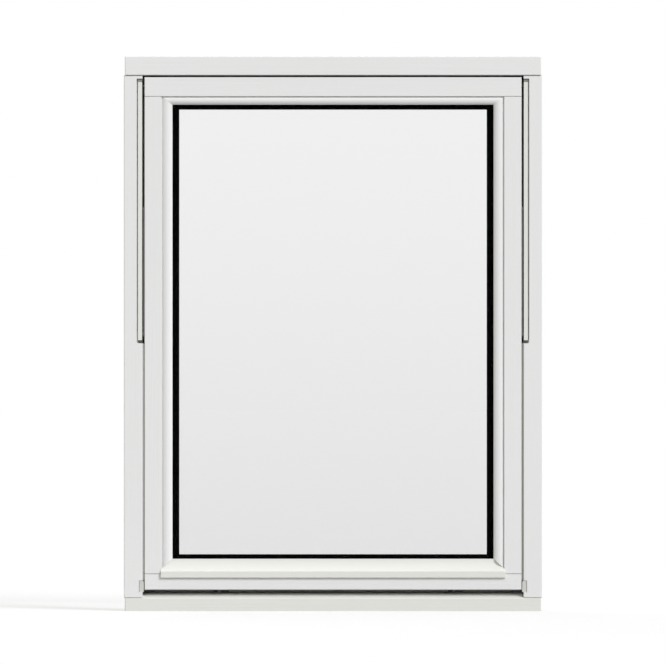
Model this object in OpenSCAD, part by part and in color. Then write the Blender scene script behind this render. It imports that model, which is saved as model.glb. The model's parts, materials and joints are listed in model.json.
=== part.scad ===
// Top-swing pivot window in painted timber.
// The head of the sash slides down a guide rail in each jamb while a link arm on each side
// carries the middle of the sash outwards. The outside faces -Y and the sill stands on z = 0.

/* [Frame] */
// Overall width of the frame
frame_w = 890; // [760:1:1200]
// Overall height of the frame
frame_h = 1180; // [1000:1:1400]
// Depth of the frame from outside to inside
frame_depth = 105; // [100:1:130]
// Width of the head and jambs seen from outside
jamb_face = 39.5; // [38:0.5:60]
// Height of the outside face of the sill
sill_face = 28; // [26:0.5:40]
// Rise of the sill from its outside edge to the stop
sill_rise = 12; // [6:0.5:13]
// Depth of the steep front slope of the sill
slope_run = 25; // [18:1:35]
// Rise of the steep front slope of the sill
slope_rise = 8; // [5:0.5:9]
// How far the head and the sill stay back from the outer sides of the jambs
end_inset = 2; // [0:0.5:4]
// Width of the eased edges of the timber
arris = 1.2; // [0.5:0.1:3]
// Width of the shadow line between the head and the jambs
head_line = 2; // [0.4:0.1:2.5]
// Width of the shadow lines at the other timber joints
joint_line = 1; // [0.4:0.1:2]
// How far the stops of the head and jambs lap the sash
stop_lap = 15; // [12:0.5:24]
// How far the stop of the sill laps the sash
sill_lap = 11.7; // [10:0.1:14]
// Diameter of the holes for the wall fixings
fixing_d = 10.5; // [6:0.5:14]
// Height of the lower wall fixings above the sill base
fixing_low = 180; // [120:1:300]
// Distance of the upper wall fixings below the top of the frame
fixing_high = 180; // [120:1:300]

/* [Sash] */
// Gap between the sash and each jamb
side_gap = 4.3; // [4:0.1:7]
// Gap between the sash and the head
head_gap = 4.5; // [3:0.1:8]
// Height of the sash above the outside edge of the sill
sash_lift = 17.3; // [17:0.1:24]
// Depth of the sash from outside to inside
sash_depth = 78; // [74:0.5:84]
// How far the sash lies behind the outside face of the frame
sash_set = 2; // [0:0.5:5]
// Space for the seal between the sash and the stops
seal_gap = 5; // [4:0.5:8]
// Visible width of a stile beside its bead
stile_face = 36.6; // [34:0.1:60]
// Height of the top rail above its joint with the stiles
top_rail_h = 40; // [36:0.5:70]
// Height of the bottom rail below its joint with the stiles
bottom_rail_h = 33.6; // [30:0.1:45]
// Chamfer that lets the inner top edge swing past the seal
swing_chamfer = 6; // [4:0.5:9]

/* [Glazing] */
// Thickness of one glass pane
pane_t = 4; // [3:0.5:6]
// Width of each cavity between the panes
cavity = 12; // [8:0.5:13]
// Thickness of the glazing gaskets
gasket_t = 2; // [1:0.5:4]
// Depth of the glazing beads
bead_depth = 14; // [12:0.5:18]
// Width of the side beads
bead_w = 22.8; // [19:0.1:28]
// Width of the top bead
top_bead_w = 18; // [16:0.1:24]
// Height of the drip bead above the joint of the bottom rail
drip_bead_h = 32.2; // [30:0.1:40]
// How far the nose of the drip bead stands in front of the sash
drip_nose = 5; // [4:0.5:20]
// Height of the front of the nose
drip_nose_h = 13.9; // [10:0.1:16]
// How far the nose hangs below the joint of the bottom rail
drip_hang = 8.5; // [4:0.5:12]
// Radius of the hollow between the glass and the nose
cove_r = 34; // [26:1:80]
// Width of the edge seal of the glass unit
edge_seal_w = 10; // [6:0.5:11]
// Width of the spacer bars of the glass unit
spacer_w = 12; // [8:0.5:16]
// Room round the edge of the glass unit
glass_room = 4; // [3:0.5:5]

/* [Linkage] */
// Distance of the pivot line behind the outside face of the frame
pivot_set = 14.5; // [13.5:0.5:18]
// Distance of the shoe pin below the top of the sash
shoe_drop = 18; // [16:0.5:24]
// Width of the guide rail
rail_w = 23; // [22:0.5:25]
// Height of the guide rail section
rail_t = 8.7; // [8:0.1:10]
// Wall thickness of the guide rail
rail_wall = 2; // [1.5:0.1:2.2]
// Width of the slot in the guide rail
rail_slot = 10; // [9:0.5:12]
// Width of a link arm
arm_w = 12; // [10:0.5:14]
// Thickness of a link arm
arm_t = 3; // [2:0.1:3.2]
// Radius of the eyes of a link arm
eye_r = 8; // [7:0.5:9]
// Diameter of the pins of a link arm
arm_pin_d = 8; // [6:0.5:9]
// Diameter of the pin of a shoe
shoe_pin_d = 6; // [4:0.5:7]
// Length of a shoe
shoe_len = 32.5; // [26:0.5:45]
// Thickness of a pivot plate
plate_t = 3; // [2:0.1:5]
// Width of a pivot plate
plate_w = 14; // [12:0.5:18]

/* [Lock] */
// Height of the handle axis above the underside of the sash
handle_up = 30.7; // [30:0.1:34]
// Reach of the handle from its axis
handle_reach = 112; // [90:1:140]
// Radius of the grip where it leaves the neck
grip_r = 9; // [7:0.5:11]
// Number of teeth of the drive gear
teeth = 16; // [14:1:17]
// Module of the drive gear
tooth_module = 1.5; // [1.3:0.1:1.6]
// Side of the square spindle
spindle_w = 7; // [6:0.5:8]
// Width of the lock rod
rod_w = 10; // [8:0.5:11]
// Thickness of the lock rod
rod_t = 4; // [3:0.5:5]
// Distance of the lock pins from the edges of the sash
lock_in = 151; // [120:1:200]
// Diameter of the lock pins
lock_pin_d = 8; // [6:0.5:9]
// Thickness of the faceplate
faceplate_t = 2; // [1.5:0.1:3]

/* [Hidden] */
$fn = 64;
// Clearances: a fixed fit, a running fit and a hinge fit, each per side
fit = 0.1;
run = 0.3;
hinge_fit = 0.05;
// Overlap of cutting shapes past the faces that they open
cut = 1;

// Frame: half widths in x, faces in y and levels in z
half_w = frame_w / 2;
end_x = half_w - end_inset;
y_out = -frame_depth / 2;
y_in = frame_depth / 2;
jamb_x = half_w - jamb_face;
head_z = frame_h - jamb_face;
sash_x = jamb_x - side_gap;
stop_x = sash_x - stop_lap;
sash_y0 = y_out + sash_set;
sash_y1 = sash_y0 + sash_depth;
stop_y = sash_y1 + seal_gap;
sash_z0 = sill_face + sash_lift;
sash_z1 = head_z - head_gap;
sill_stop_z = sash_z0 + sill_lap;
slope_y = y_out + slope_run;
drip_groove = 6;
line_depth = 8;
fixing_set = 60;
fixing_y = sash_y0 + fixing_set;
stop_t = y_in - stop_y;

// Seal: a strip on the stops, set in from the edge of the sash
seal_in = 6;
seal_foot = 6;
seal_lip = 2;
seal_barb = stop_t / 4;
seal_foot_t = 1.5;
seal_rest = 1.5;

// Sash: joints, rebates and lips
stile_z0 = sash_z0 + bottom_rail_h;
stile_z1 = sash_z1 - top_rail_h;
bead_x = sash_x - stile_face;
bead_y = sash_y0 + bead_depth;
glass_y = bead_y + gasket_t;
unit_t = 3 * pane_t + 2 * cavity;
lip_y = glass_y + unit_t + gasket_t;
lip_hide = 2;
sight_x = bead_x - bead_w;
sight_z0 = stile_z0 + drip_bead_h;
sight_z1 = stile_z1 - top_bead_w;
lip_x = sight_x + lip_hide;
lip_z0 = sight_z0 - lip_hide;
lip_z1 = sight_z1 + lip_hide;
glass_cover = 8;
glass_x = sight_x + glass_cover;
rebate_x = glass_x + glass_room;
block_h = 5;
glass_foot = 13;
glass_head = 12;
glass_z0 = sight_z0 - glass_foot;
glass_z1 = sight_z1 + glass_head;
floor_z = glass_z0 - block_h;
ledge_z = glass_z1 + glass_room;
block_len = 100;
block_in = 100;
block_x = glass_x - block_in;
gasket_w = 6;
gasket_proud = 1;
tenon_w = 18;
tenon_t = 20;
tenon_len = 22;
tenon_in = 21;
tenon_set = 45;
tenon_x = sash_x - tenon_in;
tenon_y = sash_y0 + tenon_set;

// Linkage: the shoe pin, the arm pin and the frame pivot lie on one line at rest
pivot_y = y_out + pivot_set;
shoe_z = sash_z1 - shoe_drop;
frame_pivot_z = (sash_z0 + sash_z1) / 2;
arm_len = (shoe_z - frame_pivot_z) / 2;
arm_pin_z = frame_pivot_z + arm_len;
rail_inset = 0.8;
rail_in = jamb_x + rail_inset;
rail_back = rail_in + rail_t;
rail_under = 14.2;
rail_z0 = frame_pivot_z - rail_under;
shoe_over = 6.5;
shoe_top = shoe_z + shoe_over;
rail_over = 1.2;
rail_z1 = shoe_top + rail_over;
buffer_t = 6.3;
buffer_plug = 0.8;
notch_relief = 2.6;
notch_r = 3;
notch_end = 1.2;
notch_foot = 3.5;
notch_z0 = rail_z0 - notch_r - notch_foot;
notch_z1 = rail_z1 + buffer_t + notch_end;
pivot_over = eye_r + 5;
pin_short = 0.2;
arm_x = sash_x + (side_gap - arm_t) / 2;
washer_d = 18;
plate_over = 12;
plate_under = 28;
rail_screw_z = [for (k = [1:3]) frame_pivot_z + k * arm_len / 2];
plate_screw_z = [for (k = [1:3]) arm_pin_z + k * arm_len / 4.5];

// Guide blocks at the foot of the jambs
guide_proud = 2.8;
guide_t = 9.2;
guide_low = 4.7;
guide_h = 24.7;
guide_y = 30;
guide_set = 1.5;
guide_lead = 3;
guide_line = 0.8;
guide_z0 = sash_z0 - guide_low;
guide_z1 = guide_z0 + guide_h;

// Side strips between the sash and the lower half of the jambs
strip_set = 5.5;
strip_d = 6;
strip_clear = 0.5;
strip_barb = 3;
strip_barb_w = 2;
strip_end = 0.5;
strip_y = y_out + strip_set + strip_d / 2;
strip_z0 = guide_z1 + strip_end;
strip_z1 = notch_z0 - strip_end;

// Lock: gear, rack, rod, pins and keepers
handle_z = sash_z0 + handle_up;
pitch_r = tooth_module * teeth / 2;
pressure = 20;
base_r = pitch_r * cos(pressure);
tip_r = pitch_r + tooth_module;
root_r = pitch_r - 1.25 * tooth_module;
rack_z = handle_z - pitch_r;
rack_tip = 0.9 * tooth_module;
rack_root = 1.25 * tooth_module;
tooth_pitch = PI * tooth_module;
backlash = 0.35;
lock_travel = pitch_r * PI / 2;
rod_set = 14.5;
rod_y = sash_y1 - rod_set;
rod_z0 = sash_z0 + faceplate_t + fit;
rod_z1 = rod_z0 + rod_t;
lock_x = sash_x - lock_in;
rod_over = 40;
rod_x = lock_x + rod_over;
gear_w = 9;
hub_d = 12;
case_wall = 1.5;
case_y0 = rod_y - rod_w / 2 - run - case_wall;
case_y1 = rod_y + rod_w / 2 + run + case_wall;
rack_teeth_back = ceil((lock_travel + 1.2 * pitch_r) / tooth_pitch);
rack_teeth_front = 3;
case_room = 5;
case_x = rack_teeth_back * tooth_pitch + case_room;
gear_room = 1;
case_z1 = handle_z + tip_r + gear_room + case_wall;
faceplate_w = 20;
faceplate_over = 12;
faceplate_x = rod_x + lock_travel + faceplate_over;
lock_stud_d = 5;
lock_pin_drop = 5.5;
keeper_len = 60;
keeper_out = 10;
keeper_in = 12;
keeper_y0 = rod_y - keeper_out;
keeper_y1 = rod_y + keeper_in;
keeper_t = 2.5;
keeper_top = sill_top(keeper_y0);
keeper_floor = keeper_top - keeper_t;
hook_len = 20;
hook_t = 2.8;
hook_room = 0.5;
hook_y = rod_y - lock_pin_d / 2 - hook_room;
hook_gap = 2.7;
hook_top = sash_z0 - hook_gap;
keeper_screw_dx = 22;
keeper_screw_in = 5;
keeper_screw_y = rod_y + keeper_screw_in;

// Handle
rose_w = 65;
rose_h = 28;
rose_t = 9;
neck_d = 18;
neck_out = 34.5;
grip_end_r = grip_r - 1.5;
handle_screw_dx = 21.5;
socket_floor = 8;
socket_y = sash_y1 + neck_out - socket_floor;

// Screws: length and shank diameter
corner_screw_len = 110;
rail_screw_len = 20;
plate_screw_len = 22;
keeper_screw_len = 18;
handle_screw_len = 22;
corner_screw_d = 6;
small_screw_d = 3.5;
handle_screw_d = 5;
corner_screw = [corner_screw_len, corner_screw_d];
rail_screw = [rail_screw_len, small_screw_d];
plate_screw = [plate_screw_len, small_screw_d];
keeper_screw = [keeper_screw_len, small_screw_d];
handle_screw = [handle_screw_len, handle_screw_d];
corner_screw_in = 18;
corner_screw_set = 38;
corner_screw_step = 30;
corner_screw_x = half_w - corner_screw_in;
corner_screw_y = [for (k = [0:1]) sash_y0 + corner_screw_set + k * corner_screw_step];

// Colours
paint = [0.886, 0.886, 0.882];
rail_paint = [0.863, 0.863, 0.843];
guide_grey = [0.8, 0.8, 0.776];
zinc = [0.72, 0.73, 0.74];
dark_rubber = [0.16, 0.16, 0.16];
buffer_grey = [0.48, 0.48, 0.45];
strip_grey = [0.7, 0.7, 0.67];
dark_steel = [0.2, 0.2, 0.21];
black = [0.03, 0.03, 0.03];
clear_glass = [0.84, 0.88, 0.87, 0.35];
satin = [0.78, 0.78, 0.76];

// Height of the top of the sill at a depth y behind its steep front slope
function sill_top(y) =
    sill_face + slope_rise + (sill_rise - slope_rise) * (y - slope_y) / (stop_y - slope_y);

// Box between two opposite corners
module block(p, q) translate(p) cube(q - p);

// Outline in x and z, drawn through a depth in y
module front(y0, y1) translate([0, y1, 0]) rotate([90, 0, 0]) linear_extrude(y1 - y0) children();

// Outline with eased edges: a point with a third value of 1 has its corner cut off,
// by at most a third of a face that it shares
function flat(p) = [p[0], p[1]];
function toward(p, q) = p + min(arris / norm(q - p), 1 / 3) * (q - p);
function eased(points) = [
    for (k = [0:len(points) - 1])
        let (
            p = flat(points[k]),
            before = flat(points[(k + len(points) - 1) % len(points)]),
            after = flat(points[(k + 1) % len(points)])
        )
        each points[k][2] == 1 ? [toward(p, before), toward(p, after)] : [p]
];
// Rectangle with all its edges eased
function eased_box(p, q) = eased([[p[0], p[1], 1], [q[0], p[1], 1], [q[0], q[1], 1], [p[0], q[1], 1]]);

// Section in y and z, drawn along x
module along_x(x0, x1) translate([x0, 0, 0]) rotate([90, 0, 90]) linear_extrude(x1 - x0) children();

// Section in x and y, drawn along z
module along_z(z0, z1) translate([0, 0, z0]) linear_extrude(z1 - z0) children();

// Round bars along each axis
module bar_x(x0, x1, y, z, d) translate([x0, y, z]) rotate([0, 90, 0]) cylinder(h = x1 - x0, d = d);
module bar_y(y0, y1, x, z, d) translate([x, y1, z]) rotate([90, 0, 0]) cylinder(h = y1 - y0, d = d);
module bar_z(z0, z1, x, y, d) translate([x, y, z0]) cylinder(h = z1 - z0, d = d);

// The same thing on the right and on the left
module both_sides() {
    children();
    mirror([1, 0, 0]) children();
}

// Countersunk screw that points down, with its head flush at the origin.
// With grow it is the hole for that screw, open above the head.
module screw(size, grow = 0) {
    head_h = size[1] / 2;
    translate([0, 0, -size[0]]) cylinder(h = size[0] - head_h, d = size[1] + 2 * grow);
    translate([0, 0, -head_h]) cylinder(h = head_h, d1 = size[1] + 2 * grow, d2 = 2 * (size[1] + grow));
    if (grow > 0) cylinder(h = cut, d = 2 * (size[1] + grow));
}

// Screws where they sit, or their holes
module corner_screws(grow = 0) both_sides() for (y = corner_screw_y) {
    translate([corner_screw_x, y, frame_h]) screw(corner_screw, grow);
    translate([corner_screw_x, y, 0]) rotate([180, 0, 0]) screw(corner_screw, grow);
}
module rail_screws_at(grow = 0) both_sides() for (z = rail_screw_z)
    translate([rail_back - rail_wall, pivot_y, z]) rotate([0, -90, 0]) screw(rail_screw, grow);
module plate_screws_at(grow = 0) both_sides() for (z = plate_screw_z)
    translate([sash_x, pivot_y, z]) rotate([0, 90, 0]) screw(plate_screw, grow);
module keeper_screws_at(grow = 0) for (x = [-lock_x, lock_x], s = [-1, 1])
    translate([x + lock_travel + s * keeper_screw_dx, keeper_screw_y, keeper_top]) screw(keeper_screw, grow);
module handle_screws_at(grow = 0) for (s = [-1, 1])
    translate([s * handle_screw_dx, sash_y1 + rose_t, handle_z])
        rotate([-90, 0, 0]) screw(handle_screw, grow);

// Outline of the sash in x and z, set in all round
module sash_outline(inset) translate([-sash_x + inset, sash_z0 + inset])
    square([2 * (sash_x - inset), sash_z1 - sash_z0 - 2 * inset]);

// Strip round the sash, centred on the line of the seal
module seal_ring(width, y0, y1) front(y0, y1) difference() {
    sash_outline(seal_in - width / 2);
    sash_outline(seal_in + width / 2);
}
module seal_groove() seal_ring(seal_lip + 2 * fit, stop_y - cut, stop_y + seal_barb + fit);

// Opening in x and z between two half widths and levels
module opening(x, z0, z1) translate([-x, z0]) square([2 * x, z1 - z0]);

// Strip inside the edge of the glass unit
module glass_ring(outer, inner, y0, y1) front(y0, y1) difference() {
    opening(glass_x - outer, glass_z0 + outer, glass_z1 - outer);
    opening(glass_x - inner, glass_z0 + inner, glass_z1 - inner);
}
module pane(y, inset = 0) front(y, y + pane_t) opening(glass_x - inset, glass_z0 + inset, glass_z1 - inset);

// Frame
module frame_head() color(paint) difference() {
    union() {
        intersection() {
            along_x(-end_x, end_x) polygon(eased([
                [y_out, head_z, 1], [y_out, frame_h, 1], [y_in, frame_h, 1], [y_in, head_z]
            ]));
            along_z(head_z, frame_h) polygon(eased_box([-end_x, y_out], [end_x, y_in]));
        }
        along_x(-stop_x, stop_x) polygon(eased([
            [stop_y, sash_z1 - stop_lap, 1], [y_in, sash_z1 - stop_lap, 1],
            [y_in, head_z + cut], [stop_y, head_z + cut]
        ]));
    }
    seal_groove();
    corner_screws(fit);
}

// Notch for the guide rail in x and z, with a rounded run-out at its foot
module notch_outline(deep) {
    translate([jamb_x - cut, notch_z0 + notch_r]) square([deep + cut, notch_z1 - notch_z0 - notch_r]);
    translate([jamb_x - cut, notch_z0]) square([deep + cut - notch_r, notch_r + cut]);
    translate([jamb_x + deep - notch_r, notch_z0 + notch_r]) circle(notch_r);
}
module rail_notch() {
    front(y_out - cut, pivot_y + rail_w / 2) notch_outline(rail_inset + rail_t);
    front(y_out - cut, pivot_y - small_screw_d - run) notch_outline(rail_inset + rail_t + notch_relief);
}
module guide_outline(gap = 0) polygon([
    [jamb_x + guide_t - guide_proud + gap, guide_z0], [jamb_x + guide_t - guide_proud + gap, guide_z1],
    [jamb_x, guide_z1], [jamb_x - guide_proud, guide_z1 - guide_lead], [jamb_x - guide_proud, guide_z0]
]);

// Shadow line across the front of a standing member, between two levels
module shadow_line(y, z0, z1) block([0, y - cut, z0], [half_w + cut, y + line_depth, z1]);

module jamb() color(paint) difference() {
    along_z(sill_face, head_z) polygon(eased([
        [half_w, y_out, 1], [half_w, y_in, 1], [stop_x, y_in, 1],
        [stop_x, stop_y, 1], [jamb_x, stop_y], [jamb_x, y_out, 1]
    ]));
    rail_notch();
    front(y_out - cut, y_out + guide_set + guide_y) guide_outline(guide_line);
    strip_barb(fit);
    shadow_line(y_out, head_z - head_line, head_z + cut);
    shadow_line(y_out, sill_face - cut, sill_face + joint_line);
    for (z = [fixing_low, frame_h - fixing_high]) bar_x(jamb_x - cut, half_w + cut, fixing_y, z, fixing_d);
    seal_groove();
    corner_screws(fit);
    rail_screws_at(fit);
}
module frame_jamb_right() jamb();
module frame_jamb_left() mirror([1, 0, 0]) jamb();

module frame_sill() color(paint) difference() {
    union() {
        intersection() {
            along_x(-end_x, end_x) polygon(eased([
                [y_out, 0], [y_in, 0], [y_in, sill_face, 1], [y_out, sill_face, 1]
            ]));
            along_z(0, sill_face) polygon(eased_box([-end_x, y_out], [end_x, y_in]));
        }
        along_x(-jamb_x, jamb_x) polygon(eased([
            [y_out, 0], [stop_y, 0], [stop_y, sill_face + sill_rise],
            [slope_y, sill_face + slope_rise], [y_out, sill_face, 1]
        ]));
        along_x(-stop_x, stop_x) polygon(eased([
            [stop_y, 0], [y_in, 0], [y_in, sill_stop_z, 1], [stop_y, sill_stop_z, 1]
        ]));
    }
    block([-half_w - cut, y_out + drip_groove, -cut], [half_w + cut, y_out + 2 * drip_groove, drip_groove]);
    for (x = [-lock_x, lock_x]) translate([x + lock_travel, 0, 0]) block(
        [-keeper_len / 2 - fit, keeper_y0 - fit, keeper_floor],
        [keeper_len / 2 + fit, keeper_y1 + fit, sash_z0]);
    seal_groove();
    keeper_screws_at(fit);
    corner_screws(fit);
}
module frame_seal() color(dark_rubber) {
    seal_ring(seal_foot, stop_y - seal_foot_t, stop_y);
    seal_ring(seal_lip, sash_y1 + seal_rest, stop_y + seal_barb);
}
module frame_corner_screws() color(zinc) corner_screws();

// Guide rail: a lipped channel that opens towards the sash
module rail() color(rail_paint) difference() {
    along_z(rail_z0, rail_z1) difference() {
        translate([rail_in, pivot_y - rail_w / 2]) square([rail_t, rail_w]);
        translate([rail_in + rail_wall, pivot_y - rail_w / 2 + rail_wall])
            square([rail_t - 2 * rail_wall, rail_w - 2 * rail_wall]);
        translate([rail_in - cut, pivot_y - rail_slot / 2]) square([rail_wall + 2 * cut, rail_slot]);
    }
    rail_screws_at(fit);
}
module rail_right() rail();
module rail_left() mirror([1, 0, 0]) rail();
module rail_screws() color(zinc) rail_screws_at();

// Block that fills the inside of the channel with a clearance
module channel_fill(z0, z1, gap) block(
    [rail_in + rail_wall + gap, pivot_y - rail_w / 2 + rail_wall + gap, z0],
    [rail_back - rail_wall - gap, pivot_y + rail_w / 2 - rail_wall - gap, z1]);
// Part of a channel block that stands in the slot and reaches towards the sash
module slot_fill(z0, z1, gap, x0) block(
    [x0, pivot_y - rail_slot / 2 + gap, z0], [rail_in + rail_wall + cut, pivot_y + rail_slot / 2 - gap, z1]);

module rail_buffer() color(buffer_grey) {
    block([rail_in, pivot_y - rail_w / 2, rail_z1], [rail_back, pivot_y + rail_w / 2, rail_z1 + buffer_t]);
    channel_fill(rail_z1 - buffer_plug, rail_z1 + cut, fit);
}
module rail_buffer_right() rail_buffer();
module rail_buffer_left() mirror([1, 0, 0]) rail_buffer();

// Strip that closes the gap beside the sash, held by a barb in a groove of the jamb
module strip_barb(gap = 0) block(
    [jamb_x - cut, strip_y - strip_barb_w / 2 - gap, strip_z0 - gap],
    [jamb_x + strip_barb + gap, strip_y + strip_barb_w / 2 + gap, strip_z1 + gap]);
module side_strip() color(strip_grey) {
    block([sash_x + strip_clear, strip_y - strip_d / 2, strip_z0], [jamb_x, strip_y + strip_d / 2, strip_z1]);
    strip_barb();
}
module side_strip_right() side_strip();
module side_strip_left() mirror([1, 0, 0]) side_strip();

module frame_pivot() color(zinc) {
    channel_fill(rail_z0, frame_pivot_z + pivot_over, fit);
    slot_fill(rail_z0, frame_pivot_z + pivot_over, fit, rail_in);
    bar_x(arm_x + pin_short, rail_in + cut, pivot_y, frame_pivot_z, arm_pin_d);
}
module frame_pivot_right() frame_pivot();
module frame_pivot_left() mirror([1, 0, 0]) frame_pivot();

module friction_washer() color(dark_rubber) difference() {
    bar_x(arm_x + arm_t + fit, rail_in - fit, pivot_y, frame_pivot_z, washer_d);
    bar_x(arm_x, rail_in + cut, pivot_y, frame_pivot_z, arm_pin_d + 2 * fit);
}
module friction_washer_right() friction_washer();
module friction_washer_left() mirror([1, 0, 0]) friction_washer();

module guide_block() color(guide_grey) front(y_out + guide_set, y_out + guide_set + guide_y) guide_outline();
module guide_block_right() guide_block();
module guide_block_left() mirror([1, 0, 0]) guide_block();

// Keeper: a plate let into the sill with a hook in front of the locked pin
module keeper(x) color(dark_steel) difference() {
    translate([x, 0, 0]) {
        block([-keeper_len / 2, keeper_y0, keeper_floor], [keeper_len / 2, keeper_y1, keeper_top]);
        front(hook_y - hook_t, hook_y) polygon([
            [-hook_len / 2, keeper_floor + fit], [hook_len / 2, keeper_floor + fit],
            [hook_len / 2 - hook_t / 2, hook_top], [-hook_len / 2 + hook_t, hook_top]
        ]);
    }
    keeper_screws_at(fit);
}
module keeper_right() keeper(lock_x + lock_travel);
module keeper_left() keeper(-lock_x + lock_travel);
module keeper_screws() color(dark_steel) keeper_screws_at();

// Link arm: a flat bar with an eye at each end
module link_arm() color(dark_steel) along_x(arm_x, arm_x + arm_t) difference() {
    union() {
        translate([pivot_y - arm_w / 2, frame_pivot_z]) square([arm_w, arm_len]);
        for (z = [frame_pivot_z, arm_pin_z]) translate([pivot_y, z]) circle(eye_r);
    }
    for (z = [frame_pivot_z, arm_pin_z]) translate([pivot_y, z]) circle(d = arm_pin_d + 2 * hinge_fit);
}
module link_arm_right() link_arm();
module link_arm_left() mirror([1, 0, 0]) link_arm();

// Shoe that slides in the rail and turns on its pin
module shoe() color(dark_rubber) difference() {
    union() {
        channel_fill(shoe_top - shoe_len, shoe_top, run);
        slot_fill(shoe_top - shoe_len, shoe_top, run, jamb_x + fit);
    }
    bar_x(sash_x, rail_back, pivot_y, shoe_z, shoe_pin_d + 2 * hinge_fit);
}
module shoe_right() shoe();
module shoe_left() mirror([1, 0, 0]) shoe();

// Pivot plate, let into the edge of the sash, with the pins of the arm and the shoe
module plate_box(gap) block(
    [sash_x - plate_t, pivot_y - plate_w / 2 - gap, arm_pin_z - plate_under - gap],
    [sash_x + gap * cut / fit, pivot_y + plate_w / 2 + gap, shoe_z + plate_over + gap]);
module pivot_plate() color(dark_steel) {
    difference() {
        plate_box(0);
        plate_screws_at(fit);
    }
    bar_x(sash_x - cut, arm_x + arm_t - pin_short, pivot_y, arm_pin_z, arm_pin_d);
    bar_x(sash_x - cut, rail_back - rail_wall - 2 * run, pivot_y, shoe_z, shoe_pin_d);
}
module pivot_plate_right() pivot_plate();
module pivot_plate_left() mirror([1, 0, 0]) pivot_plate();
module pivot_plate_screws() color(dark_steel) plate_screws_at();

// Tenons of a stile, or their mortises with a clearance
module tenons(gap = 0) block(
    [tenon_x - tenon_w / 2 - gap, tenon_y - tenon_t / 2 - gap, stile_z0 - tenon_len - gap],
    [tenon_x + tenon_w / 2 + gap, tenon_y + tenon_t / 2 + gap, stile_z1 + tenon_len + gap]);

module stile() color(paint) difference() {
    union() {
        along_z(stile_z0, stile_z1) polygon(eased([
            [sash_x, sash_y0, 1], [bead_x, sash_y0], [bead_x, bead_y], [rebate_x, bead_y],
            [rebate_x, lip_y], [lip_x, lip_y], [lip_x, sash_y1, 1], [sash_x, sash_y1, 1]
        ]));
        tenons();
    }
    plate_box(fit);
    plate_screws_at(fit);
    shadow_line(sash_y0, stile_z0 - cut, stile_z0 + joint_line);
    shadow_line(sash_y0, stile_z1 - joint_line, stile_z1 + cut);
}
module sash_stile_right() stile();
module sash_stile_left() mirror([1, 0, 0]) stile();

// Plan of the sash with the eased edges at the ends of its rails
module sash_plan(z0, z1) along_z(z0, z1) polygon(eased_box([-sash_x, sash_y0], [sash_x, sash_y1]));

module sash_top_rail() color(paint) difference() {
    union() {
        intersection() {
            along_x(-sash_x, sash_x) polygon(eased([
                [sash_y0, stile_z1], [sash_y1, stile_z1], [sash_y1, sash_z1 - swing_chamfer],
                [sash_y1 - swing_chamfer, sash_z1], [sash_y0, sash_z1, 1]
            ]));
            sash_plan(stile_z1, sash_z1);
        }
        block([-rebate_x, bead_y, ledge_z], [rebate_x, lip_y, stile_z1 + cut]);
        along_x(-lip_x, lip_x) polygon(eased([
            [lip_y, lip_z1], [sash_y1, lip_z1, 1], [sash_y1, stile_z1 + cut], [lip_y, stile_z1 + cut]
        ]));
    }
    both_sides() {
        tenons(fit);
        plate_box(fit);
    }
}
module sash_bottom_rail() color(paint) difference() {
    union() {
        intersection() {
            along_x(-sash_x, sash_x) polygon(eased([
                [sash_y0, sash_z0, 1], [sash_y1, sash_z0, 1], [sash_y1, stile_z0], [sash_y0, stile_z0]
            ]));
            sash_plan(sash_z0, stile_z0);
        }
        block([-rebate_x, bead_y, stile_z0 - cut], [rebate_x, lip_y, floor_z]);
        along_x(-lip_x, lip_x) polygon(eased([
            [lip_y, stile_z0 - cut], [sash_y1, stile_z0 - cut], [sash_y1, lip_z0, 1], [lip_y, lip_z0]
        ]));
    }
    block([-sash_x - cut, sash_y0 + drip_groove, sash_z0 - cut],
        [sash_x + cut, sash_y0 + 2 * drip_groove, sash_z0 + drip_groove]);
    both_sides() tenons(fit);
    block([-case_x - fit, case_y0 - fit, sash_z0 - cut], [case_x + fit, case_y1 + fit, case_z1 + fit]);
    block([-rod_x - lock_travel - run, rod_y - rod_w / 2 - run, sash_z0 - cut],
        [rod_x + lock_travel + run, rod_y + rod_w / 2 + run, rod_z1 + run]);
    block([-faceplate_x - fit, rod_y - faceplate_w / 2 - fit, sash_z0 - cut],
        [faceplate_x + fit, rod_y + faceplate_w / 2 + fit, sash_z0 + faceplate_t]);
    bar_y(case_y1 - cut, sash_y1 + cut, 0, handle_z, hub_d + 2 * run);
    handle_screws_at(fit);
}

// Glazing bead: a quirk at the timber and a round that passes over a ridge down to the glass.
// The section has the timber at x = 0 and the glass side at y = 0.
bead_ridge_h = 12.5;
bead_quirk_h = 8.5;
bead_quirk_w = 3;
bead_edge_h = 5.5;
bead_peak = 0.46;
module bead_section(width) {
    reach = (1 - bead_peak) * width;
    fall = bead_ridge_h - bead_edge_h;
    round_r = (pow(reach, 2) + pow(fall, 2)) / (2 * fall);
    square([bead_quirk_w + cut, bead_quirk_h]);
    intersection() {
        translate([bead_quirk_w, 0]) square([width - bead_quirk_w, bead_ridge_h + cut]);
        translate([width - reach, bead_ridge_h - round_r]) circle(round_r);
    }
}
drip_scribe = 20.4;
module side_bead() color(paint) intersection() {
    along_z(stile_z0, stile_z1) translate([bead_x, bead_y]) rotate(180) bead_section(bead_w);
    front(sash_y0, bead_y) polygon([
        [bead_x, stile_z1], [sight_x, sight_z1], [sight_x, sight_z0], [bead_x, sight_z0 - drip_scribe]
    ]);
}
module bead_right() side_bead();
module bead_left() mirror([1, 0, 0]) side_bead();
module bead_top() color(paint) intersection() {
    along_x(-bead_x, bead_x) translate([bead_y, stile_z1]) mirror([1, 1]) bead_section(top_bead_w);
    front(sash_y0, bead_y) polygon([
        [-bead_x, stile_z1], [bead_x, stile_z1], [sight_x, sight_z1], [-sight_x, sight_z1]
    ]);
}

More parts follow.
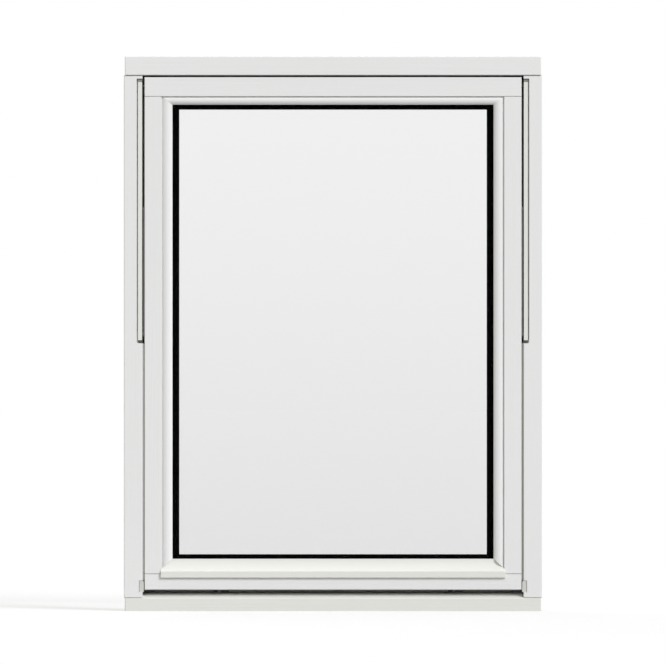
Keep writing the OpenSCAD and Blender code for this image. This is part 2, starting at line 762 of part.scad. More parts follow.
// Drip bead: a hollow from the glass to a nose that hangs in front of the bottom rail, with a throat below
drip_low_z = stile_z0 - drip_hang;
drip_nose_z = drip_low_z + drip_nose_h;
drip_nose_y = sash_y0 - drip_nose;
drip_throat = drip_nose / 3;
drip_end = 2;
cove_top = [bead_y - bead_edge_h, sight_z0];
cove_foot = [drip_nose_y, drip_nose_z];
cove_chord = cove_foot - cove_top;
cove_out = [cove_chord[1], -cove_chord[0]] / norm(cove_chord);
cove_centre = (cove_top + cove_foot) / 2 + cove_out * sqrt(pow(cove_r, 2) - pow(norm(cove_chord) / 2, 2));
module drip_section() difference() {
    polygon(eased([
        [bead_y, stile_z0], [bead_y, sight_z0], cove_top, cove_foot, [drip_nose_y, drip_low_z, 1],
        [sash_y0, drip_low_z], [sash_y0, stile_z0]
    ]));
    translate(cove_centre) circle(cove_r);
    translate([drip_nose_y + drip_throat, drip_low_z - cut]) square([drip_throat, drip_throat + cut]);
}
module drip_bead() color(paint) intersection() {
    along_x(-bead_x - drip_end, bead_x + drip_end) drip_section();
    union() {
        front(drip_nose_y - cut, sash_y0) translate([-bead_x - drip_end, drip_low_z - cut])
            square([2 * (bead_x + drip_end), sight_z0 - drip_low_z]);
        front(sash_y0 - cut, bead_y + cut) polygon([
            [-bead_x, stile_z0], [bead_x, stile_z0], [bead_x, sight_z0 - drip_scribe],
            [sight_x, sight_z0], [-sight_x, sight_z0], [-bead_x, sight_z0 - drip_scribe]
        ]);
    }
}

// Sealed glass unit
middle_inset = 2;
spacer_end = edge_seal_w + spacer_w;
module glass_outer() color(clear_glass) pane(glass_y);
module glass_middle() color(clear_glass) pane(glass_y + pane_t + cavity, middle_inset);
module glass_inner() color(clear_glass) pane(glass_y + 2 * (pane_t + cavity));
module spacer(y) color(black) glass_ring(edge_seal_w, spacer_end, y, y + cavity);
module spacer_outer() spacer(glass_y + pane_t);
module spacer_inner() spacer(glass_y + 2 * pane_t + cavity);
module edge_seal() color(black) difference() {
    glass_ring(0, edge_seal_w, glass_y + pane_t, glass_y + unit_t - pane_t);
    pane(glass_y + pane_t + cavity, middle_inset);
}
module gasket(x, z0, z1, y) color(black) front(y, y + gasket_t) difference() {
    opening(x + gasket_w, z0 - gasket_w, z1 + gasket_w);
    opening(x, z0, z1);
}
module outer_gasket() gasket(sight_x, sight_z0, sight_z1, bead_y);
module inner_gasket()
    gasket(lip_x - gasket_proud, lip_z0 + gasket_proud, lip_z1 - gasket_proud, lip_y - gasket_t);
module setting_blocks() color(dark_rubber) for (x = [-block_x, block_x])
    block([x - block_len / 2, glass_y, floor_z], [x + block_len / 2, glass_y + unit_t, glass_z0]);

// Gearbox, faceplate and handle
module gearbox_case() color(zinc) difference() {
    block([-case_x, case_y0, sash_z0 + faceplate_t], [case_x, case_y1, case_z1]);
    block([-case_x + case_wall, case_y0 + case_wall, sash_z0],
        [case_x - case_wall, case_y1 - case_wall, case_z1 - case_wall]);
    block([-case_x - cut, case_y0 + case_wall, sash_z0], [case_x + cut, case_y1 - case_wall, rod_z1 + run]);
    bar_y(case_y0 - cut, case_y1 + cut, 0, handle_z, hub_d + 2 * hinge_fit);
    handle_screws_at(fit);
}
module faceplate() color(zinc) difference() {
    block([-faceplate_x, rod_y - faceplate_w / 2, sash_z0],
        [faceplate_x, rod_y + faceplate_w / 2, sash_z0 + faceplate_t]);
    for (x = [-lock_x, lock_x]) {
        block([x, rod_y - lock_pin_d / 2 - run, sash_z0 - cut],
            [x + lock_travel, rod_y + lock_pin_d / 2 + run, sash_z0 + faceplate_t + cut]);
        for (dx = [0, lock_travel])
            bar_z(sash_z0 - cut, sash_z0 + faceplate_t + cut, x + dx, rod_y, lock_pin_d + 2 * run);
    }
}
module handle_rose() color(satin) difference() {
    front(sash_y1, sash_y1 + rose_t) translate([0, handle_z]) {
        square([rose_w - rose_h, rose_h], center = true);
        for (s = [-1, 1]) translate([s * (rose_w - rose_h) / 2, 0]) circle(d = rose_h);
    }
    bar_y(sash_y1 - cut, sash_y1 + rose_t + cut, 0, handle_z, neck_d + 2 * hinge_fit);
    handle_screws_at(fit);
}
module handle_screws() color(zinc) handle_screws_at();

// Square bar along y on the handle axis
module square_bar(y0, y1, side)
    block([-side / 2, y0, handle_z - side / 2], [side / 2, y1, handle_z + side / 2]);
module handle_lever() color(satin) difference() {
    union() {
        bar_y(sash_y1 + fit, sash_y1 + neck_out, 0, handle_z, neck_d);
        translate([0, sash_y1 + neck_out, handle_z]) {
            sphere(grip_r);
            rotate([0, 90, 0]) cylinder(h = handle_reach - grip_end_r, r1 = grip_r, r2 = grip_end_r);
            translate([handle_reach - grip_end_r, 0, 0]) sphere(grip_end_r);
        }
    }
    square_bar(sash_y1 - cut, socket_y, spindle_w + 2 * fit);
}
module spindle() color(zinc) square_bar(case_y0 + fit, socket_y - fit, spindle_w);

// Involute drive gear: half the angle of a tooth at radius r, and the points of one tooth
function roll(r) = sqrt(max(0, pow(r / base_r, 2) - 1));
function flank(r) = roll(r) * 180 / PI - atan(roll(r));
function half_tooth(r) = (tooth_pitch - backlash) / (4 * pitch_r) * 180 / PI + flank(pitch_r) - flank(r);
function polar(r, a) = [r * cos(a), r * sin(a)];
flank_steps = 4;
flank_r = [for (k = [0:flank_steps]) base_r + (tip_r - base_r) * k / flank_steps];
function tooth(a) = concat(
    [polar(root_r, a - half_tooth(base_r))],
    [for (k = [0:flank_steps]) polar(flank_r[k], a - half_tooth(flank_r[k]))],
    [for (k = [flank_steps:-1:0]) polar(flank_r[k], a + half_tooth(flank_r[k]))],
    [polar(root_r, a + half_tooth(base_r))]
);
module drive_gear() color(zinc) difference() {
    union() {
        front(rod_y - gear_w / 2, rod_y + gear_w / 2) translate([0, handle_z])
            polygon([for (k = [0:teeth - 1]) each tooth(360 * k / teeth - 90)]);
        bar_y(case_y0 + fit, case_y1 - fit, 0, handle_z, hub_d);
    }
    square_bar(case_y0 - cut, case_y1 + cut, spindle_w + 2 * fit);
}

// Lock rod with its rack: a tooth space lies under the gear at rest
function rack_half(z) = (tooth_pitch - backlash) / 4 - (z - rack_z) * tan(pressure);
function rack_tooth(x) = [
    [x - rack_half(rack_z - rack_root), rack_z - rack_root],
    [x - rack_half(rack_z + rack_tip), rack_z + rack_tip],
    [x + rack_half(rack_z + rack_tip), rack_z + rack_tip],
    [x + rack_half(rack_z - rack_root), rack_z - rack_root]
];
rack_x0 = -rack_teeth_back * tooth_pitch;
rack_x1 = rack_teeth_front * tooth_pitch;
module lock_rod() color(zinc) difference() {
    union() {
        block([-rod_x, rod_y - rod_w / 2, rod_z0], [rod_x, rod_y + rod_w / 2, rod_z1]);
        front(rod_y - gear_w / 2, rod_y + gear_w / 2) polygon(concat(
            [[rack_x0, rod_z0 + fit]], [[rack_x0, rack_z - rack_root]],
            [for (k = [-rack_teeth_back:rack_teeth_front - 1]) each rack_tooth((k + 0.5) * tooth_pitch)],
            [[rack_x1, rack_z - rack_root]], [[rack_x1, rod_z0 + fit]]
        ));
    }
    for (x = [-lock_x, lock_x]) bar_z(rod_z0 - cut, rod_z1 + cut, x, rod_y, lock_stud_d + 2 * hinge_fit);
}
module lock_pins() color(dark_steel) for (x = [-lock_x, lock_x]) {
    bar_z(sash_z0 - lock_pin_drop, rod_z0, x, rod_y, lock_pin_d);
    bar_z(rod_z0 - cut, rod_z1, x, rod_y, lock_stud_d);
}

frame_head();
frame_jamb_left();
frame_jamb_right();
frame_sill();
frame_seal();
frame_corner_screws();
rail_left();
rail_right();
rail_screws();
rail_buffer_left();
rail_buffer_right();
side_strip_left();
side_strip_right();
frame_pivot_left();
frame_pivot_right();
friction_washer_left();
friction_washer_right();
guide_block_left();
guide_block_right();
keeper_left();
keeper_right();
keeper_screws();
link_arm_left();
link_arm_right();
sash_top_rail();
sash_stile_left();
sash_stile_right();
sash_bottom_rail();
bead_top();
bead_left();
bead_right();
drip_bead();
glass_outer();
glass_middle();
glass_inner();
spacer_outer();
spacer_inner();
edge_seal();
outer_gasket();
inner_gasket();
setting_blocks();
pivot_plate_left();
pivot_plate_right();
pivot_plate_screws();
gearbox_case();
faceplate();
handle_rose();
handle_screws();
handle_lever();
spindle();
drive_gear();
lock_rod();
lock_pins();
shoe_left();
shoe_right();
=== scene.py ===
# %% [markdown]
# A pivot window in white painted timber, dressed in Blender.
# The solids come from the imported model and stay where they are. Blender adds what the eye reads:
# paint, glass, zinc, rubber, the recess and thread of each screw, and the light of a plain studio.

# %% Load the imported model
import bpy
import bmesh
import json
import math
from mathutils import Matrix, Vector


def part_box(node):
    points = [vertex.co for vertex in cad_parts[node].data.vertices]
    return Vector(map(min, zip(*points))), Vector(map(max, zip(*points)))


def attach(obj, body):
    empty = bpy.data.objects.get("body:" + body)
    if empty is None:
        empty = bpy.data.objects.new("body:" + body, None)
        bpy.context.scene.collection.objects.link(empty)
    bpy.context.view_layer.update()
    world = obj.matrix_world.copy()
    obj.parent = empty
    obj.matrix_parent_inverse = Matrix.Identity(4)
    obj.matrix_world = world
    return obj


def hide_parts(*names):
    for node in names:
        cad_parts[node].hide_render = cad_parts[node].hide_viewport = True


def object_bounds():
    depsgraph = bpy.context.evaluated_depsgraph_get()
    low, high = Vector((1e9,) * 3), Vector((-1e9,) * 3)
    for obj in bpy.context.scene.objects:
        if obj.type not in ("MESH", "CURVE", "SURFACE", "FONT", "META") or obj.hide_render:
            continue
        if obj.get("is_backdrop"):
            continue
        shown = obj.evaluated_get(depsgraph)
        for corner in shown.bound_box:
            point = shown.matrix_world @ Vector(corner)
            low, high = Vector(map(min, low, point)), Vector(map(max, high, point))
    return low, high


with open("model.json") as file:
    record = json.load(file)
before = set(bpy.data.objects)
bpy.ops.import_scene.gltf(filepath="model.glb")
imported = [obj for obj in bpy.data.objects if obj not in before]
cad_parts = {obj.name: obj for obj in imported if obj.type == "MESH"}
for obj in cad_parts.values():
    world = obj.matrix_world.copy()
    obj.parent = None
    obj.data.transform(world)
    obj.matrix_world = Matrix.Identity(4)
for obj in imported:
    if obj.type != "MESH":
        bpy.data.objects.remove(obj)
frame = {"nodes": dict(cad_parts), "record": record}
nodes = frame["nodes"]
cad_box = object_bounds()
slot_of = {part["node"]: part["material_slot"] for part in frame["record"]["subparts"]}

# %% [markdown]
# Every finish below is a small network of shader nodes. Written out node by node, such a network is long
# and hard to read, so two small classes do the wiring. Wire stands for one output socket and understands
# plus, minus, times and powers, and Tree makes any other node from its type, its settings and its sockets.
# The price is a little indirection; the gain is that a finish reads like the recipe that it is.

# %% Shader maths as Python
class Wire:
    """One output socket of a node tree, usable in plain arithmetic."""

    def __init__(self, tree, socket):
        self.tree = tree
        self.socket = socket

    def math(self, operation, *values):
        return self.tree.node("ShaderNodeMath", {"operation": operation}, dict(enumerate(values)))

    def __add__(self, other):
        return self.math("ADD", self, other)

    def __sub__(self, other):
        return self.math("SUBTRACT", self, other)

    def __rsub__(self, other):
        return self.math("SUBTRACT", other, self)

    def __mul__(self, other):
        return self.math("MULTIPLY", self, other)

    def __pow__(self, other):
        return self.math("POWER", self, other)

    def __rpow__(self, other):
        return self.math("POWER", other, self)

    __radd__ = __add__
    __rmul__ = __mul__


class Tree:
    """A node tree that is built from its type names and values."""

    def __init__(self, owner):
        owner.use_nodes = True
        self.tree = owner.node_tree
        self.tree.nodes.clear()

    def node(self, kind, settings=None, sockets=None, output=0):
        """Make a node, set its settings, then its sockets, and give back one of its outputs."""
        made = self.tree.nodes.new(kind)
        for name, value in (settings or {}).items():
            setattr(made, name, value)
        for name, value in (sockets or {}).items():
            if isinstance(value, Wire):
                self.tree.links.new(value.socket, made.inputs[name])
            else:
                made.inputs[name].default_value = value
        return Wire(self, made.outputs[output]) if made.outputs else made


def linear(red, green, blue):
    """A colour that is written in the 0 to 255 steps of a screen, as Blender's linear values."""
    steps = [c / 255 for c in (red, green, blue)]
    values = [s / 12.92 if s <= 0.04045 else ((s + 0.055) / 1.055) ** 2.4 for s in steps]
    return (*values, 1.0)


print("a screen grey of 230 is", round(linear(230, 230, 230)[0], 3), "in linear light")

# %% [markdown]
# The camera stands far in front of the window at half its height, with a long lens. A long lens keeps the
# members parallel, as in a catalogue picture, and unlike an orthographic camera it still frames the whole
# window by itself when it is walked round to another side.

# %% Camera
PHOTO_PIXELS = 665
METRES_PER_PIXEL = 0.002128
WINDOW_CENTRE_PX = 333.0
WINDOW_FOOT_PX = 611.1
LENS_MM = 600
SENSOR_MM = 36
SIGHT_LIMIT = 200
view_width = PHOTO_PIXELS * METRES_PER_PIXEL
front_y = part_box("frame_head")[0].y
camera_data = bpy.data.cameras.new("camera")
camera_data.lens = LENS_MM
camera_data.sensor_width = SENSOR_MM
camera_data.clip_end = SIGHT_LIMIT
camera = bpy.data.objects.new("camera", camera_data)
camera.location = (
    (PHOTO_PIXELS / 2 - WINDOW_CENTRE_PX) * METRES_PER_PIXEL,
    front_y - view_width * LENS_MM / SENSOR_MM,
    (WINDOW_FOOT_PX - PHOTO_PIXELS / 2) * METRES_PER_PIXEL,
)
camera.rotation_euler = (math.radians(90), 0, 0)
bpy.context.scene.collection.objects.link(camera)
bpy.context.scene.camera = camera
print("camera", round(-camera.location.y, 2), "m in front, view", round(view_width, 3), "m wide")

# %% [markdown]
# A white product picture needs a white background that doesn't flood the white object with light. A lit
# backdrop would have to be overexposed for that. Here Light Path tells the world which kind of ray asks:
# the camera, mirrors and glass see pure white, and every other ray meets a softer, slightly warm sky.

# %% World
SKY_LEVEL = 0.58
SKY_TINT = Vector((1.0, 1.0, 0.9))


def seen_directly(tree):
    """One where the camera, a reflection or glass looks, and nought for light that only bounces."""
    camera_ray, glossy_ray, glass_ray = [
        tree.node("ShaderNodeLightPath", output=kind)
        for kind in ("Is Camera Ray", "Is Glossy Ray", "Is Transmission Ray")]
    total = camera_ray + glossy_ray + glass_ray
    return total.math("MINIMUM", total, 1.0)


def blend(tree, share, first, second):
    """A colour between two others."""
    return tree.node("ShaderNodeMix", {"data_type": "RGBA"}, {0: share, 6: first, 7: second}, output=2)


world = bpy.data.worlds.new("studio")
bpy.context.scene.world = world
sky = Tree(world)
sky_strength = SKY_LEVEL + seen_directly(sky) * (1 - SKY_LEVEL)
sky_colour = blend(sky, seen_directly(sky), (*SKY_TINT, 1), (1, 1, 1, 1))
sky_light = sky.node("ShaderNodeBackground", None, {"Color": sky_colour, "Strength": sky_strength})
sky.node("ShaderNodeOutputWorld", None, {"Surface": sky_light})
bpy.context.scene.view_settings.view_transform = "Standard"
print("sky", SKY_LEVEL)

# %% [markdown]
# A wide sun from the upper right draws the mouldings. Area lamps would do, but their light fades with the
# distance, and a sun's is the same on every member. It is a touch cool and the sky a touch warm, so a face
# that both reach stays neutral and a shaded one turns warm. A second sun stands low behind the window. It
# keeps the room side white and never reaches the street side. It is hidden from glossy rays, because it
# would glare on every level face that is seen at a flat angle. The first sun keeps its glint, without
# which the metals would look like paint.

# %% Two suns
SUN_TINT = Vector((1.0, 1.0, 1.1))
SUN_LEVEL = 0.71
SUN_FROM = Vector((0.52, -0.62, 0.59)).normalized()
SUN_SPREAD = math.radians(25)
FILL_LEVEL = 0.5
FILL_FROM = Vector((-0.4, 0.9, 0.14)).normalized()
FILL_SPREAD = math.radians(60)


def add_sun(name, level, shines_from, spread, glints):
    """A sun that lights a white face turned towards it to the given level."""
    lamp = bpy.data.lights.new(name, "SUN")
    lamp.energy = level * math.pi
    lamp.color = SUN_TINT
    lamp.angle = spread
    sun = bpy.data.objects.new(name, lamp)
    sun.rotation_euler = shines_from.to_track_quat("Z", "Y").to_euler()
    sun.visible_glossy = glints
    bpy.context.scene.collection.objects.link(sun)


add_sun("sun", SUN_LEVEL, SUN_FROM, SUN_SPREAD, glints=True)
add_sun("fill", FILL_LEVEL, FILL_FROM, FILL_SPREAD, glints=False)
print("sun", SUN_LEVEL, "fill", FILL_LEVEL)

# %% [markdown]
# The floor has to look white and still keep the window's shadow. A white sheet would need more light than
# the white window can take. So it is a matt grey sheet, and to a ray that looks at it, it also glows by
# what its lit grey lacks to white. A shadow takes only the lit part away, so it stays pale. The white is a
# hair above 1, which keeps the grain of the render out of it. Part of the wide, low fill is below the
# floor, so the floor gets the mean of what stands above it.

# %% Floor
FLOOR_GREY = 0.45
FLOOR_SIZE = 120
FILL_ON_FLOOR = 0.183
WHITE = 1.002

floor_finish = bpy.data.materials.new("pale floor")
floor_tree = Tree(floor_finish)
sun_on_floor = SUN_LEVEL * SUN_FROM.z + FILL_LEVEL * FILL_ON_FLOOR
floor_lit = FLOOR_GREY * (SKY_LEVEL * SKY_TINT + sun_on_floor * SUN_TINT)
floor_lack = Vector((WHITE, WHITE, WHITE)) - floor_lit
floor_matt = floor_tree.node("ShaderNodeBsdfDiffuse", None, {"Color": (FLOOR_GREY,) * 3 + (1,)})
floor_glow = floor_tree.node(
    "ShaderNodeEmission", None, {"Color": (*floor_lack, 1), "Strength": seen_directly(floor_tree)})
floor_sum = floor_tree.node("ShaderNodeAddShader", None, {0: floor_matt, 1: floor_glow})
floor_tree.node("ShaderNodeOutputMaterial", None, {"Surface": floor_sum})
bpy.ops.mesh.primitive_plane_add(size=FLOOR_SIZE)
floor = bpy.context.object
floor.name = "floor"
floor.data.materials.append(floor_finish)
floor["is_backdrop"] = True
print("floor lit to", [round(part, 3) for part in floor_lit])

# %% [markdown]
# Factory paint on planed pine is satin and almost flat. What makes it paint is the faint run of the grain
# below it and a gloss that wanders a little. The grain follows each member, so there is one finish for
# the lying members and one for the standing ones, made by the same recipe with its noise drawn out
# along another axis. The sill and the drip bead have a slightly greyer coat on the street side, which
# fades into the common one behind the front.

# %% Painted timber
PAINT = linear(231, 231, 229), linear(227, 227, 225)
# a slightly greyer coat on the street side of the sill and the drip bead
GREYER_PAINT = linear(227, 227, 221), linear(223, 223, 216)
GREYER_MEMBERS = "frame_sill", "drip_bead"
GREYER_DEPTH = 0.02
GREYER_FADE = 0.015
PAINT_GLOSS = 0.06
PAINT_ROUGHNESS = 0.42
ROUGHNESS_WANDER = 0.14
GRAIN_ACROSS = 260
GRAIN_ALONG = 5
GRAIN_DETAIL = 3.0
GRAIN_BUMP = 0.75
GRAIN_HEIGHT = 0.0004
CLOUDS = 4
CLOUD_SHARE = 0.6


def surface(tree, sockets):
    """The closing pair of nodes: one Principled shader and the material's output."""
    shader = tree.node("ShaderNodeBsdfPrincipled", None, sockets)
    tree.node("ShaderNodeOutputMaterial", None, {"Surface": shader})


def spot_along(tree, axis):
    """One coordinate of the spot on the object, in metres."""
    spot = tree.node("ShaderNodeTexCoord", output="Object")
    return tree.node("ShaderNodeSeparateXYZ", None, {"Vector": spot}, output=axis)


def noise(tree, scale, detail=2.0):
    """Noise with a scale for each axis, in waves to a metre."""
    spot = tree.node("ShaderNodeTexCoord", output="Object")
    stretched = tree.node("ShaderNodeVectorMath", {"operation": "MULTIPLY"}, {0: spot, 1: scale})
    return tree.node("ShaderNodeTexNoise", None, {"Vector": stretched, "Scale": 1.0, "Detail": detail})


def bump(tree, height, strength, distance):
    """A normal that follows a height, which is at most the distance."""
    return tree.node("ShaderNodeBump", None, {
        "Height": height, "Strength": strength, "Distance": distance})


def painted_timber(name, along, street_paint=None):
    """Paint whose grain runs along one axis, with another coat on the street side if there is one."""
    finish = bpy.data.materials.new(name)
    tree = Tree(finish)
    stretch = [GRAIN_ALONG if axis == along else GRAIN_ACROSS for axis in range(3)]
    grain = noise(tree, stretch, GRAIN_DETAIL)
    clouds = noise(tree, [CLOUDS] * 3)
    wander = clouds * CLOUD_SHARE + grain * (1 - CLOUD_SHARE)
    coat = blend(tree, wander, *PAINT)
    if street_paint:
        inside = tree.node("ShaderNodeMapRange", None, {
            "Value": spot_along(tree, "Y"),
            "From Min": front_y + GREYER_DEPTH,
            "From Max": front_y + GREYER_DEPTH + GREYER_FADE})
        coat = blend(tree, inside, blend(tree, wander, *street_paint), coat)
    surface(tree, {
        "Base Color": coat,
        "Specular IOR Level": PAINT_GLOSS,
        "Roughness": PAINT_ROUGHNESS + clouds * ROUGHNESS_WANDER,
        "Normal": bump(tree, grain, GRAIN_BUMP, GRAIN_HEIGHT),
    })
    return finish


timber = {axis: painted_timber("painted timber " + "xyz"[axis], axis) for axis in (0, 2)}
greyer_timber = painted_timber("greyer paint", 0, GREYER_PAINT)
print("paint", [finish.name for finish in timber.values()], greyer_timber.name)

# %% [markdown]
# The hardware is small but close to the eye once the sash stands open. Each metal, plastic and rubber
# gets a base colour, a gloss that varies in patches, and a fine bump: orange peel on powder coat,
# spangle on zinc, brushing along the handle. One flat colour would do from afar, but metal without any
# wander in its gloss looks like plastic.

# %% Metals, plastics and rubbers
PEEL = 900, 900, 900
BRUSHING = 60, 1600, 1600
PEEL_HEIGHT = 0.0002
PATCHES = 30
PATCH_SPAN = 0.4


def fine_finish(name, colour, shade, roughness, metallic=0.0, gloss=0.5, peel=PEEL, peel_bump=0.08):
    """A finish whose colour and gloss wander in patches, with a fine bump."""
    finish = bpy.data.materials.new(name)
    tree = Tree(finish)
    patches = noise(tree, [PATCHES] * 3)
    surface(tree, {
        "Base Color": blend(tree, patches, colour, shade),
        "Metallic": metallic,
        "Specular IOR Level": gloss,
        "Roughness": roughness * (1 - PATCH_SPAN / 2) + patches * (roughness * PATCH_SPAN),
        "Normal": bump(tree, noise(tree, peel), peel_bump, PEEL_HEIGHT),
    })
    return finish


finishes = {
    "rail_coat": fine_finish("powder coat", linear(225, 225, 219), linear(221, 221, 214), 0.42),
    "zinc_steel": fine_finish("zinc plate", linear(196, 198, 201), linear(172, 176, 182), 0.34,
                              metallic=1.0),
    "dark_steel": fine_finish("dark coated steel", linear(130, 130, 127), linear(118, 118, 116), 0.6,
                              gloss=0.15),
    "buffer_grey": fine_finish("grey rubber", linear(140, 140, 131), linear(132, 132, 123), 0.6),
    "strip_grey": fine_finish("pale rubber", linear(174, 174, 166), linear(167, 167, 159), 0.6),
    "guide_plastic": fine_finish("grey moulding", linear(204, 204, 198), linear(198, 198, 191), 0.5),
    "shoe_plastic": fine_finish("dark moulding", linear(62, 62, 62), linear(50, 50, 51), 0.45),
    "seal_rubber": fine_finish("black rubber", linear(24, 24, 24), linear(17, 17, 17), 0.6, gloss=0.2),
    "spacer_black": fine_finish("black spacer", linear(4, 4, 4), linear(2, 2, 2), 0.7, gloss=0.02),
    "handle_metal": fine_finish("satin metal", linear(205, 205, 203), linear(188, 188, 187), 0.32,
                                metallic=1.0, peel=BRUSHING, peel_bump=0.12),
}
print("finishes", len(finishes))

# %% [markdown]
# Clear glass is mostly what lies behind it. A refracting shader would do, but it turns the sun's shadow
# black. Here the pane lets rays straight through, takes a little of them, and adds a mirror that grows as
# the view gets flatter. It takes more at the foot than at the head: a painted reflection of a bright sky.
# Fresnel's node would call a pane's far face a total mirror, so the angle comes from Layer Weight,
# which treats both faces alike, and its fifth power follows the usual approximation of Fresnel's law.

# %% Clear glass
GLASS_FILM = linear(16, 20, 18)
FILM_ROUGHNESS = 0.1
# painted reflection: the pane takes more at its foot than at its head, as if it mirrored a bright sky
GLASS_AND_PAINTED_REFLECTION_HEAD = 0.0225
GLASS_AND_PAINTED_REFLECTION_FOOT = 0.0455
PAINTED_REFLECTION_CURVE = 1.4
GLASS_MIRROR = 0.0008
MIRROR_POWER = 5
MIRROR_ROUGHNESS = 0.02


def clear_glass():
    finish = bpy.data.materials.new("clear glass")
    tree = Tree(finish)
    low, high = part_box("glass_outer")
    up = tree.node("ShaderNodeMapRange", None, {
        "Value": spot_along(tree, "Z"), "From Min": low.z, "From Max": high.z})
    # painted reflection of a bright sky: the pane darkens towards its foot
    takes = GLASS_AND_PAINTED_REFLECTION_HEAD + (1 - up) ** PAINTED_REFLECTION_CURVE * (GLASS_AND_PAINTED_REFLECTION_FOOT - GLASS_AND_PAINTED_REFLECTION_HEAD)
    pane = tree.node("ShaderNodeBsdfPrincipled", None, {
        "Base Color": GLASS_FILM, "Roughness": FILM_ROUGHNESS, "Specular IOR Level": 0.0, "Alpha": takes})
    mirror = tree.node("ShaderNodeBsdfPrincipled", None, {
        "Base Color": (1, 1, 1, 1), "Metallic": 1.0, "Roughness": MIRROR_ROUGHNESS})
    flatness = tree.node("ShaderNodeLayerWeight", output="Facing")
    gloss = GLASS_MIRROR + flatness ** MIRROR_POWER * (1 - GLASS_MIRROR)
    both = tree.node("ShaderNodeMixShader", None, {0: gloss, 1: pane, 2: mirror})
    tree.node("ShaderNodeOutputMaterial", None, {"Surface": both})
    return finish


finishes["clear_glass"] = clear_glass()
print("glass takes", GLASS_AND_PAINTED_REFLECTION_HEAD, "to", GLASS_AND_PAINTED_REFLECTION_FOOT, "at each face")

# %% [markdown]
# Each solid now gets its finish. The record says which slot a node belongs to, and for timber the longest
# side of its box says which way the grain runs.

# %% Finish on every node
def longest_axis(name):
    low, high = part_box(name)
    sides = high - low
    return 0 if sides.x > sides.z else 2


def finish_of(name):
    if name in GREYER_MEMBERS:
        return greyer_timber
    if slot_of[name] == "painted_timber":
        return timber[longest_axis(name)]
    return finishes[slot_of[name]]


for name, piece in nodes.items():
    piece.data.materials.clear()
    piece.data.materials.append(finish_of(name))
print("dressed", len(nodes), "nodes")

# %% [markdown]
# The solids' screws are plain countersunk pins. A real one has a star recess in its head and a rolled
# thread on its shank. A boolean cut would do for the recess, but a screw is a turned part, so it is laid
# up here as rings along its axis: lobed rings for the recess, round ones for the head, and rings whose
# radius follows a helix for the thread. Nothing leaves the outline of the pin, so each screw still fits
# its hole. Sizes are shares of the head's radius. The wave and the taper are shares of the star, and the
# thread's core is a share of the shank.

# %% Rings of one screw
STAR_POINTS = 6
STAR_RADIUS = 0.42
STAR_WAVE = 0.15
STAR_DEPTH = 0.3
STAR_TAPER = 0.9
RIM_EASE = 0.05
SHANK = 0.5
PITCH = 0.5
THREAD_CORE = 0.72
RINGS_A_TURN = 4


def screw_rings(length, head_r):
    """Pairs of depth and radius from the recess to the tip. A radius is a function of the angle."""
    shank_r = SHANK * head_r

    def star(share):
        return lambda turn: share * head_r * (1 + STAR_WAVE * math.cos(STAR_POINTS * turn))

    def plain(radius):
        return lambda turn: radius

    def thread(depth):
        def radius(turn):
            phase = (depth / (PITCH * head_r) + turn / math.tau) % 1
            return shank_r * (THREAD_CORE + (1 - THREAD_CORE) * abs(2 * phase - 1))
        return radius

    rings = [
        (STAR_DEPTH * head_r, star(STAR_RADIUS * STAR_TAPER)),
        (0, star(STAR_RADIUS)),
        (0, plain(head_r * (1 - 2 * RIM_EASE))),
        (RIM_EASE * head_r, plain(head_r * (1 - RIM_EASE))),
        (shank_r, plain(shank_r)),
    ]
    depth = 2 * shank_r
    while depth < length - shank_r:
        rings.append((depth, thread(depth)))
        depth += PITCH * head_r / RINGS_A_TURN
    rings.append((length - shank_r / 2, plain(shank_r * THREAD_CORE)))
    return rings


print("a screw of 20 by 7 mm has", len(screw_rings(0.02, 0.0035)), "rings")

# %% [markdown]
# The rings become a closed skin: each is joined to the next by a belt of four-sided faces, the first is
# filled as the floor of the recess, and the last runs to a point. The Screw modifier would turn a profile
# too, but it can't make the lobes of the star.

# %% Skin of one screw
SCREW_SIDES = 36


def lay_up_screw(shape, seat, length, head_r):
    """One screw, added to a bmesh. Its axis is the seat's Z, and its head lies in the seat's XY plane."""
    turns = [math.tau * side / SCREW_SIDES for side in range(SCREW_SIDES)]
    loops = []
    for depth, radius in screw_rings(length, head_r):
        points = [Vector((radius(t) * math.cos(t), radius(t) * math.sin(t), -depth)) for t in turns]
        loops.append([shape.verts.new(seat @ point) for point in points])
    for inner, outer in zip(loops, loops[1:]):
        for side in range(SCREW_SIDES):
            after = (side + 1) % SCREW_SIDES
            shape.faces.new((inner[side], outer[side], outer[after], inner[after]))
    shape.faces.new(loops[0])
    tip = shape.verts.new(seat @ Vector((0, 0, -length)))
    for side in range(SCREW_SIDES):
        shape.faces.new((loops[-1][side], tip, loops[-1][(side + 1) % SCREW_SIDES]))


print("each ring has", SCREW_SIDES, "points")

# %% [markdown]
# Where each screw sits is read from its solid, which is safer than a list of places that has to be kept in
# step with the model. The pins of one node are separate islands of its mesh, and an island's box tells
# everything: its long side is the axis, its short side the head's width, and its widest points lie in the
# plane of the head.

# %% Seats of the screws
SAME_POINT = 1e-7


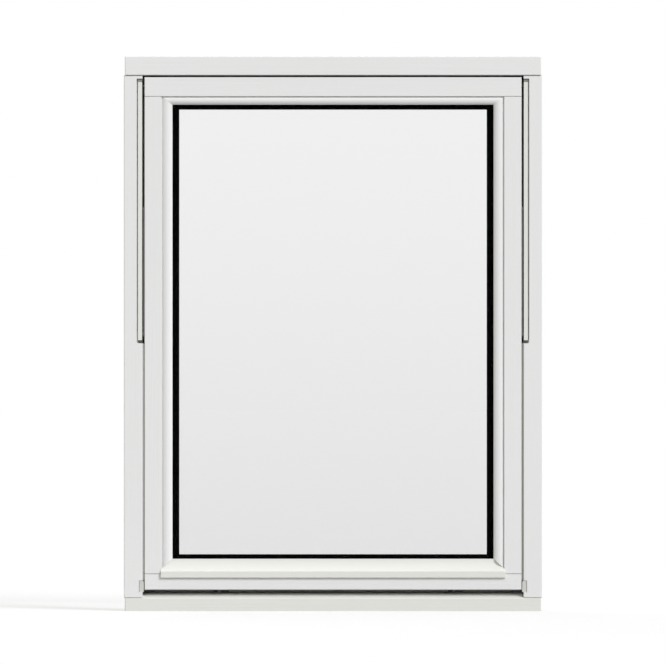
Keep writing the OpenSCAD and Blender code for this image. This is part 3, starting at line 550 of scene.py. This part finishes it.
def islands(mesh):
    """The points of each separate solid in a mesh."""
    shape = bmesh.new()
    shape.from_mesh(mesh)
    bmesh.ops.remove_doubles(shape, verts=shape.verts, dist=SAME_POINT)
    for vert in shape.verts:
        vert.tag = False
    found = []
    for start in shape.verts:
        if start.tag:
            continue
        start.tag = True
        island, waiting = [], [start]
        while waiting:
            vert = waiting.pop()
            island.append(vert.co.copy())
            for link in vert.link_edges:
                other = link.other_vert(vert)
                if not other.tag:
                    other.tag = True
                    waiting.append(other)
        found.append(island)
    shape.free()
    return found


def pin_seat(points):
    """The seat, length and head radius of a countersunk pin."""
    low = Vector([min(p[axis] for p in points) for axis in range(3)])
    high = Vector([max(p[axis] for p in points) for axis in range(3)])
    sides = high - low
    middle = (low + high) / 2
    along = max(range(3), key=lambda axis: sides[axis])
    widest = max(points, key=lambda p: sum((p[a] - middle[a]) ** 2 for a in range(3) if a != along))
    out = Vector((0, 0, 0))
    out[along] = 1 if widest[along] > middle[along] else -1
    turn = out.to_track_quat("Z", "Y").to_matrix().to_4x4()
    seat = Matrix.Translation(middle + out * (sides[along] / 2)) @ turn
    return seat, sides[along], min(sides) / 2


screw_nodes = [name for name in nodes if name.endswith("_screws")]
pins = {name: islands(nodes[name].data) for name in screw_nodes}
print("pins", {name: len(found) for name, found in pins.items()})

# %% [markdown]
# Now each group of pins is replaced by its group of screws, which keeps the finish of the node's slot and
# the body of the node that it stands for.

# %% Screws in their places
SHARP_EDGE = math.radians(35)

body_of = {name: body for body, names in frame["record"]["behaviour"]["bodies"].items() for name in names}
for name in screw_nodes:
    shape = bmesh.new()
    for points in pins[name]:
        lay_up_screw(shape, *pin_seat(points))
    bmesh.ops.recalc_face_normals(shape, faces=shape.faces)
    mesh = bpy.data.meshes.new("star_" + name)
    shape.to_mesh(mesh)
    shape.free()
    mesh.shade_smooth()
    mesh.set_sharp_from_angle(angle=SHARP_EDGE)
    mesh.materials.append(finish_of(name))
    screws = bpy.data.objects.new("star_" + name, mesh)
    bpy.context.scene.collection.objects.link(screws)
    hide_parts(name)
    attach(screws, body_of[name])
    print(screws.name, len(mesh.polygons), "faces")

# %% [markdown]
# The dressed window should not outgrow its solids, so its box is compared with the solids' box.

# %% Sizes
growth = max(abs(a - b) for old, new in zip(cad_box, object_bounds()) for a, b in zip(old, new))
print("the dressed window's box differs from the solids' by", round(growth * 1000, 3), "mm")
